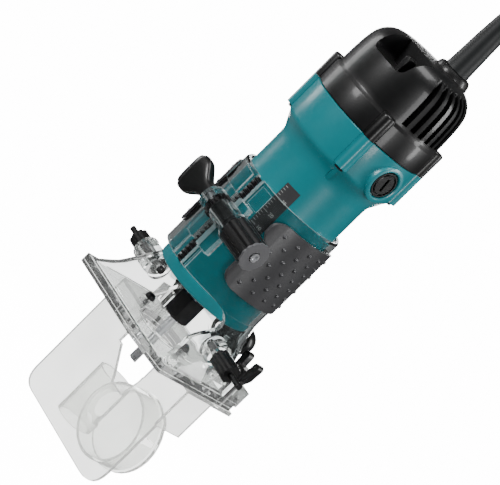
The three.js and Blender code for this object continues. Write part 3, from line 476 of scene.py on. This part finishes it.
def brush_seat(way):
    """What is cut out of the housing, so that the collar and the cap sit in it."""
    low, high, r = -BRUSH_SEAT_DEPTH, 6, BRUSH_SEAT_R
    return at_brush(turned([(0, low), (r, low), (r, high), (0, high)], CAP_SIDES), way)


# ---- the teal housing ----
RIB_HALF = 1.3


def housing():
    """The motor's body: a turned profile with screw bosses, ribs and brush collars."""
    z = MOTOR_Z
    body = turned([
        (0, z + 6), (9.6, z + 6), (9.6, z), (32.0, z), (32.8, z + 0.5), (33.2, z + 1.6), (33.2, z + 60),
        (33.2, z + 98), (33.4, z + 101), (34.0, z + 104.2), (35.0, z + 106.8), (36.3, z + 108.9),
        (37.7, z + 110.6), (38.8, z + 112), (39.3, z + 113.2), (39.5, z + 114.6), (39.5, SPLIT - 0.5),
        (39.1, SPLIT), (0, SPLIT)], BODY_SIDES)
    parts = [carved(body, brush_seat(1), brush_seat(-1))]
    for degrees in BOSS_ANGLES:
        parts.append(boss(degrees, BOSS_BOTTOM, SPLIT))
        rib = prism([(33.0, z + 101.5), (34.2, z + 103.4), (38.9, z + 112.6), (33, z + 112.6)],
                    -RIB_HALF, RIB_HALF)
        move(rib, turn=90, axis="X")
        parts.append(move(rib, turn=degrees - 90))
    for way in SIDES:
        collar = turned([(12.4, -5), (12.4, 0.0), (12.1, 0.6), (11.4, 0.9), (9.9, 0.9), (BRUSH_SEAT_R, 0.5),
                         (9.1, -0.2), (9.1, -2.6), (0, -2.6), (0, -5)], CAP_SIDES)
        parts.append(at_brush(collar, way))
    piece("housing_teal", merged(*parts), TEAL, "motor", ["motor_housing"], bevel=0.35)


# ---- the black rear cover ----
VENTS, VENT_FIRST, VENT_TURN = 7, 62, 10
VENT_HALF, VENT_IN, VENT_OUT, VENT_LOW, VENT_HIGH = 1.8, 28, 46, 155, 192


def cover():
    """The domed cover, with its vents, the recess for the switch and the outlet for the cord's boot."""
    z = MOTOR_Z
    dome = turned([
        (0, COVER_START), (39.1, COVER_START), (39.5, SPLIT + 0.8), (39.5, z + 150.9), (39.3, z + 151.4),
        (38.1, z + 153.0), (37.9, z + 153.8), (37.9, z + 156.5), (37.7, z + 163), (37.3, z + 169.5),
        (36.7, z + 174.6), (35.8, z + 178.2), (34.4, z + 181.2), (32.4, z + 183.8), (29.8, z + 186),
        (26.6, z + 187.6), (22.4, z + 188.6), (16, z + 189), (0, z + 189)], BODY_SIDES)
    vents = []
    for way in SIDES:
        for i in range(VENTS):
            outline = rounded(-VENT_HALF, VENT_HALF, VENT_IN, VENT_OUT, 0.8, 3)
            slot = prism(outline, z + VENT_LOW, z + VENT_HIGH)
            vents.append(move(slot, turn=180 + way * (VENT_FIRST + VENT_TURN * i)))
    recess = prism(rounded(-9.5, 18, z + 173.5, z + 200, 4), 15.5, 50)
    move(recess, turn=90, axis="X")
    boot_hole = turned([(0, z + 178), (8.6, z + 178), (8.6, z + 195), (0, z + 195)], BOSS_SIDES)
    move(boot_hole, (0, CORD_Y, 0))
    outlet = turned([(0, z + 182), (12.8, z + 182), (12.4, z + 187), (11.6, z + 190.6), (10.6, z + 192.2),
                     (9.8, z + 192.5), (0, z + 192.5)], CAP_SIDES)
    move(outlet, (0, CORD_Y, 0))
    body = carved(dome, outlet, operation="UNION")
    body = carved(body, merged(*vents), recess, boot_hole)
    parts = [body]
    for degrees in BOSS_ANGLES:
        parts.append(boss(degrees, COVER_START, z + 154.1, domed=1.6))
    piece("cover_black", merged(*parts), BLACK, "motor", ["rear_cover"], bevel=0.35)


# ---- raised dots on the side grips ----
GRIP_R = 38.5
DOT_COLUMNS, DOT_FIRST, DOT_TURN = 9, 58, 8
DOT_LOW, DOT_STEP = 66, 12.2


def grip_dots(way):
    """Studs on a grip, in columns round it, with every other column half a step up."""
    parts = []
    for column in range(DOT_COLUMNS):
        degrees = DOT_FIRST + DOT_TURN * column
        shifted = column % 2
        x, y = around(GRIP_R, degrees)
        for row in range(4 - shifted):
            dot = turned([(0, -0.3), (1.35, -0.3), (1.3, 0.3), (1.05, 0.75), (0.6, 1.05), (0, 1.15)],
                         DOT_SIDES)
            move(dot, turn=90, axis="Y")
            move(dot, turn=degrees - 90)
            parts.append(move(dot, (x, y, DOT_LOW + DOT_STEP * row + shifted * DOT_STEP / 2)))
    dots = merged(*parts)
    if way < 0:
        bmesh.ops.scale(dots, vec=(-1, 1, 1), verts=dots.verts)
    piece(f"grip_dots_{SIDES[way]}", dots, STUD, "base")


# ---- the clamp's paddle, the switch lever and the brush caps ----
CLAMP_Y, CLAMP_Z = -44, 87.5
PADDLE_START, PADDLE_LENGTH = -8.3, 25.9
# half of the paddle's width and thickness, at distances from its start
PADDLE_WIDE = [(0, 4.9), (4.5, 5.1), (17.5, 12.3), (21.5, 12.4), (24.6, 10.6), (PADDLE_LENGTH, 6.4)]
PADDLE_THICK = [(0, 4.2), (7, 4.3), (21, 4.4), (24.4, 3.7), (PADDLE_LENGTH, 1.6)]


def paddle():
    """A wing with softly squared sections, closer together towards its rounded end."""
    rings = []
    steps, count, square, crowding = 40, 56, 3.4, 1.6
    for i in range(steps + 1):
        out = PADDLE_LENGTH * (1 - (1 - i / steps) ** crowding)
        wide, thick = smooth_between(PADDLE_WIDE, out), smooth_between(PADDLE_THICK, out)
        ring = []
        for k in range(count):
            turn = 2 * math.pi * k / count
            c, n = math.cos(turn), math.sin(turn)
            y = thick * math.copysign(abs(c) ** (2 / square), c)
            z = wide * math.copysign(abs(n) ** (2 / square), n)
            ring.append((PADDLE_START - out, CLAMP_Y + y, CLAMP_Z + z))
        rings.append(ring)
    piece("paddle_smooth", skinned(rings), BLACK, "clamp_paddle", ["clamp_paddle"],
          crease=50)


LEVER_DEPTH = 21.5, 29.5


def lever():
    """The switch lever's tab, from its side outline."""
    outline = [(8.0, 207.9), (12.0, 207.9), (11.7, 214.5), (12.0, 221.6), (11.5, 223.1), (10, 223.6),
               (8.5, 223.1), (8.0, 221.6), (8.3, 214.5)]
    blade = prism([(x, -z) for x, z in outline], *LEVER_DEPTH)
    move(blade, turn=-90, axis="X")
    bmesh.ops.scale(blade, vec=(1, -1, 1), verts=blade.verts)
    piece("lever_tab", blade, BLACK, "switch_lever", ["switch_lever"], bevel=0.9)


def brush_cap(way):
    """A round cap with a groove near its rim and a slot for a screwdriver."""
    r = BRUSH_CAP_R
    cap = turned([(0, -3.8), (5.8, -3.8), (5.8, -2.2), (r, -2.2), (r, -0.1), (8.3, 0.3), (7.5, 0.3),
                  (7.3, -0.5), (6.8, -0.5), (6.6, 0.1), (6.2, 0.4), (0, 0.4)], CAP_SIDES)
    slot = prism(rounded(-4.4, 4.4, -0.95, 0.95, 0.6, 3), -1.4, 3)
    cap = at_brush(carved(cap, move(slot, turn=8)), way)
    side = SIDES[way]
    piece(f"brush_cap_face_{side}", cap, BLACK, "motor", [f"brush_cap_{side}"])


# ---- the depth scale ----
# the strip's face, from below the motor's surface to just over it, and the printed marks on it
STRIP_R, STRIP_BACK_R, MARK_R = 33.32, 32.6, 33.34
STRIP_START, STRIP_SPREAD, STRIP_STEPS = 24.6, 17.8, 16
STRIP_BOTTOM, STRIP_TOP = 83.8, 125.1
MARK_ANGLE, FIGURE_ANGLE = 33.5, 36.2
MARKS_COUNT, MARKS_LOW, MARKS_STEP, MARKS_PER_FIGURE = 20, 85, 2, 5
MARK_START, MARK_HALF, MARK_HEIGHT = -4.6, 0.14, 0.06
LONG_MARK, SHORT_MARK = 3.4, 1.7
FIGURE_SIZE, FIGURE_HEIGHT = 3.1, 0.03


def wrapped(bm, degrees, z):
    """Lays a flat shape on the scale, its x round the motor and its y up."""
    for vert in bm.verts:
        x, y = around(MARK_R + vert.co.z, degrees + math.degrees(vert.co.x / MARK_R))
        vert.co = (x, y, z + vert.co.y)
    return bm


def digits(text):
    """A plain figure as a flat shape, centred on the origin."""
    data = bpy.data.curves.new("digits", "FONT")
    data.body = text
    data.size = FIGURE_SIZE
    data.align_x, data.align_y = "CENTER", "CENTER"
    data.extrude = FIGURE_HEIGHT
    thing = bpy.data.objects.new("digits", data)
    bpy.context.scene.collection.objects.link(thing)
    mesh = bpy.data.meshes.new_from_object(thing.evaluated_get(bpy.context.evaluated_depsgraph_get()))
    bpy.data.objects.remove(thing)
    bm = bmesh.new()
    bm.from_mesh(mesh)
    bpy.data.meshes.remove(mesh)
    return bm


def scale_face():
    turns = [STRIP_START + STRIP_SPREAD * i / STRIP_STEPS for i in range(STRIP_STEPS + 1)]
    outline = [around(STRIP_R, t) for t in turns] + [around(STRIP_BACK_R, t) for t in reversed(turns)]
    strip = prism(outline, STRIP_BOTTOM, STRIP_TOP)
    piece("scale_strip", strip, GREY_STRIP, "motor", ["scale_plate"])


def scale_marks():
    """A mark for every second millimetre, with a longer one and a figure at every tenth."""
    parts = []
    for step in range(MARKS_COUNT):
        z = MARKS_LOW + MARKS_STEP * step
        has_figure = step % MARKS_PER_FIGURE == 0
        end = MARK_START + (LONG_MARK if has_figure else SHORT_MARK)
        outline = [(MARK_START, -MARK_HALF), (end, -MARK_HALF), (end, MARK_HALF), (MARK_START, MARK_HALF)]
        parts.append(wrapped(prism(outline, 0, MARK_HEIGHT), MARK_ANGLE, z))
        if has_figure:
            parts.append(wrapped(digits(str(MARKS_STEP * step)), FIGURE_ANGLE, z))
    piece("scale_marks", merged(*parts), MARKS, "motor")


housing()
cover()
paddle()
lever()
scale_face()
scale_marks()
for side_way in SIDES:
    grip_dots(side_way)
    brush_cap(side_way)


# ---- the cord ----
# out: away from the spindle and from the camera; side: across that; both seen from above
AWAY = math.radians(130.5)
OUT = Vector((math.cos(AWAY), math.sin(AWAY), 0))
SIDE = Vector((math.sin(AWAY), -math.cos(AWAY), 0))
CORD_R = 3.8
BOOT_END = MOTOR_Z + 252.5
# how far the cord goes straight on out of its boot
STRAIGHT = 8
HANK_BOTTOM = MOTOR_Z + 22.5
HANK_TOP = HANK_BOTTOM + 137
# the hank's folds, the near edge of its cords, its middle across, and the number of cords side by side
FOLD_R, HANK_NEAR, HANK_SIDE, LAYERS = 23, 46, -5.7, 6
PLUG_OUT, PLUG_SIDE, PLUG_TOP = 113, -14, MOTOR_Z + 84.5
# how many steps the line takes over each stretch
ARCH_STEPS, DROP_STEPS, LAP_STEPS, PLUG_STEPS = 16, 5, 30, 8


def at(out, side, z):
    return (OUT * out + SIDE * side + Vector((0, 0, z))) * MM


def cord_route():
    """Straight out of the boot, over in one arch, down to the hank, round its folds and on to the plug."""
    exit_at = Vector((0, CORD_Y, 0))
    out0, side0 = exit_at.dot(OUT), exit_at.dot(SIDE)
    run = HANK_NEAR + CORD_R + 2 * FOLD_R
    bend, top = (run - out0) / 2, BOOT_END + STRAIGHT
    points = [at(out0, side0, BOOT_END), at(out0, side0, top)]
    for i in range(1, ARCH_STEPS):
        turn = math.pi * i / ARCH_STEPS
        points.append(at(out0 + bend * (1 - math.cos(turn)), side0, top + bend * math.sin(turn)))
    high, low = HANK_TOP - FOLD_R - CORD_R, HANK_BOTTOM + FOLD_R + CORD_R
    points += [at(run, side0, top - (top - high) * i / DROP_STEPS) for i in range(DROP_STEPS + 1)]
    # round and round the folds, a cord's width further along with each turn
    middle, length = run - FOLD_R, high - low
    lap = 2 * length + 2 * math.pi * FOLD_R
    first, last = HANK_SIDE + CORD_R * (LAYERS - 1), HANK_SIDE - CORD_R * (LAYERS - 1)
    steps = (LAYERS - 1) * LAP_STEPS
    for i in range(1, steps + 1):
        gone = (i / LAP_STEPS) % 1 * lap
        side = first + (last - first) * i / steps
        if gone < length:
            points.append(at(run, side, high - gone))
        elif gone < length + math.pi * FOLD_R:
            turn = (gone - length) / FOLD_R
            points.append(at(middle + FOLD_R * math.cos(turn), side, low - FOLD_R * math.sin(turn)))
        elif gone < 2 * length + math.pi * FOLD_R:
            points.append(at(run - 2 * FOLD_R, side, low + gone - length - math.pi * FOLD_R))
        else:
            turn = (gone - 2 * length - math.pi * FOLD_R) / FOLD_R
            points.append(at(middle - FOLD_R * math.cos(turn), side, high + FOLD_R * math.sin(turn)))
    for i in range(1, PLUG_STEPS + 1):
        part = i / PLUG_STEPS
        ease = eased(part)
        points.append(at(run + (PLUG_OUT - run) * ease, last + (PLUG_SIDE - last) * ease,
                         high - (high - PLUG_TOP) * part))
    return points


def cord_curve(points):
    """A round cord along the points."""
    data = bpy.data.curves.new("power_cord_line", "CURVE")
    data.dimensions = "3D"
    data.bevel_depth = CORD_R * MM
    data.bevel_resolution = 4
    data.use_fill_caps = True
    spline = data.splines.new("POLY")
    spline.points.add(len(points) - 1)
    for point, where in zip(spline.points, points):
        point.co = (*where, 1)
    spline.use_smooth = True
    cord = bpy.data.objects.new("power_cord_whole", data)
    bpy.context.scene.collection.objects.link(cord)
    cord.data.materials.append(CORD)
    return cord


route = cord_route()
cord = cord_curve(route)
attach(cord, "motor")
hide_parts("power_cord", "cord_hank")


# ---- stage and light ----
FLOOR_SIZE_M, FLOOR_GAP_M = 30, 0.35
FLOOR_DARK, FLOOR_LIGHT, FLOOR_PATCHES, FLOOR_ROUGHNESS = (0.11,) * 3, (0.13,) * 3, 3, 0.9
# how bright the floor is to the camera, how bright it and the world are through clear plastic and where the
# plastic mirrors them, and how bright the world is as a light
FLOOR_SEEN, FLOOR_THROUGH, WORLD_THROUGH, THROUGH_MIRRORED = 15, 3.2, 1.3, 0.4
WORLD_LIGHT = 0.12
# name; place, aim and size in metres; power in watts
LIGHTS = (
    ("key", (-0.35, -1.4, 0.75), (0, 0, 0.16), (0.4, 0.8), 30),
    ("side", (1.05, 1.05, 0.6), (0, 0, 0.14), (0.3, 1.0), 22),
    ("top", (0.1, -0.15, 1.7), (0, 0, 0.12), (0.8, 0.8), 26),
    ("back", (-1.0, 1.15, 0.0), (0, 0, 0.12), (0.6, 0.6), 20),
    ("left", (-1.3, -0.3, 0.3), (0, 0, 0.1), (0.4, 0.8), 9),
    ("strip", (1.3, -0.35, 0.35), (0, 0, 0.12), (0.3, 0.9), 13),
)


def paths(tree):
    return tree.nodes.new("ShaderNodeLightPath").outputs


def seen_through(tree, strength):
    """Light along lines that come through clear plastic: less where they were mirrored inside it."""
    path = paths(tree)
    straight = span(tree, path["Diffuse Depth"], 1, 0)
    through = combined(tree, "MULTIPLY", straight, path["Is Transmission Ray"])
    brightness = span(tree, path["Glossy Depth"], strength, THROUGH_MIRRORED)
    return combined(tree, "MULTIPLY", through, brightness)


def add_floor():
    mesh = bpy.data.meshes.new("floor")
    size, z = FLOOR_SIZE_M, cad_low.z - FLOOR_GAP_M
    mesh.from_pydata([(-size, -size, z), (size, -size, z), (size, size, z), (-size, size, z)], [],
                     [(0, 1, 2, 3)])
    floor = bpy.data.objects.new("floor", mesh)
    bpy.context.scene.collection.objects.link(floor)
    material, tree, shader = node_material("pale_floor")
    tone = mottled(tree, noise(tree, FLOOR_PATCHES, 2), FLOOR_DARK, FLOOR_LIGHT)
    tree.links.new(tone, shader.inputs["Base Color"])
    shader.inputs["Roughness"].default_value = FLOOR_ROUGHNESS
    # seen directly or straight through clear plastic, the floor is as bright as a lit studio sweep
    shader.inputs["Emission Color"].default_value = (1, 1, 1, 1)
    direct = span(tree, paths(tree)["Is Camera Ray"], 0, FLOOR_SEEN)
    glow = combined(tree, "ADD", seen_through(tree, FLOOR_THROUGH), direct)
    tree.links.new(glow, shader.inputs["Emission Strength"])
    mesh.materials.append(material)


def add_world():
    world = bpy.data.worlds.new("studio")
    world.use_nodes = True
    tree = world.node_tree
    background = tree.nodes["Background"]
    background.inputs["Color"].default_value = (1, 1, 1, 1)
    glow = combined(tree, "ADD", seen_through(tree, WORLD_THROUGH), WORLD_LIGHT)
    tree.links.new(glow, background.inputs["Strength"])
    bpy.context.scene.world = world


def add_area(name, place, aim, size, power):
    data = bpy.data.lights.new(name, "AREA")
    data.shape = "RECTANGLE"
    data.size, data.size_y = size
    data.energy = power
    light = bpy.data.objects.new(name, data)
    light.location = Vector(place)
    light.rotation_euler = (Vector(aim) - Vector(place)).to_track_quat("-Z", "Y").to_euler()
    # clear plastic casts no shadow here, so its lamplight isn't counted a second time through it
    light.visible_transmission = False
    bpy.context.scene.collection.objects.link(light)


add_floor()
add_world()
for lamp in LIGHTS:
    add_area(*lamp)
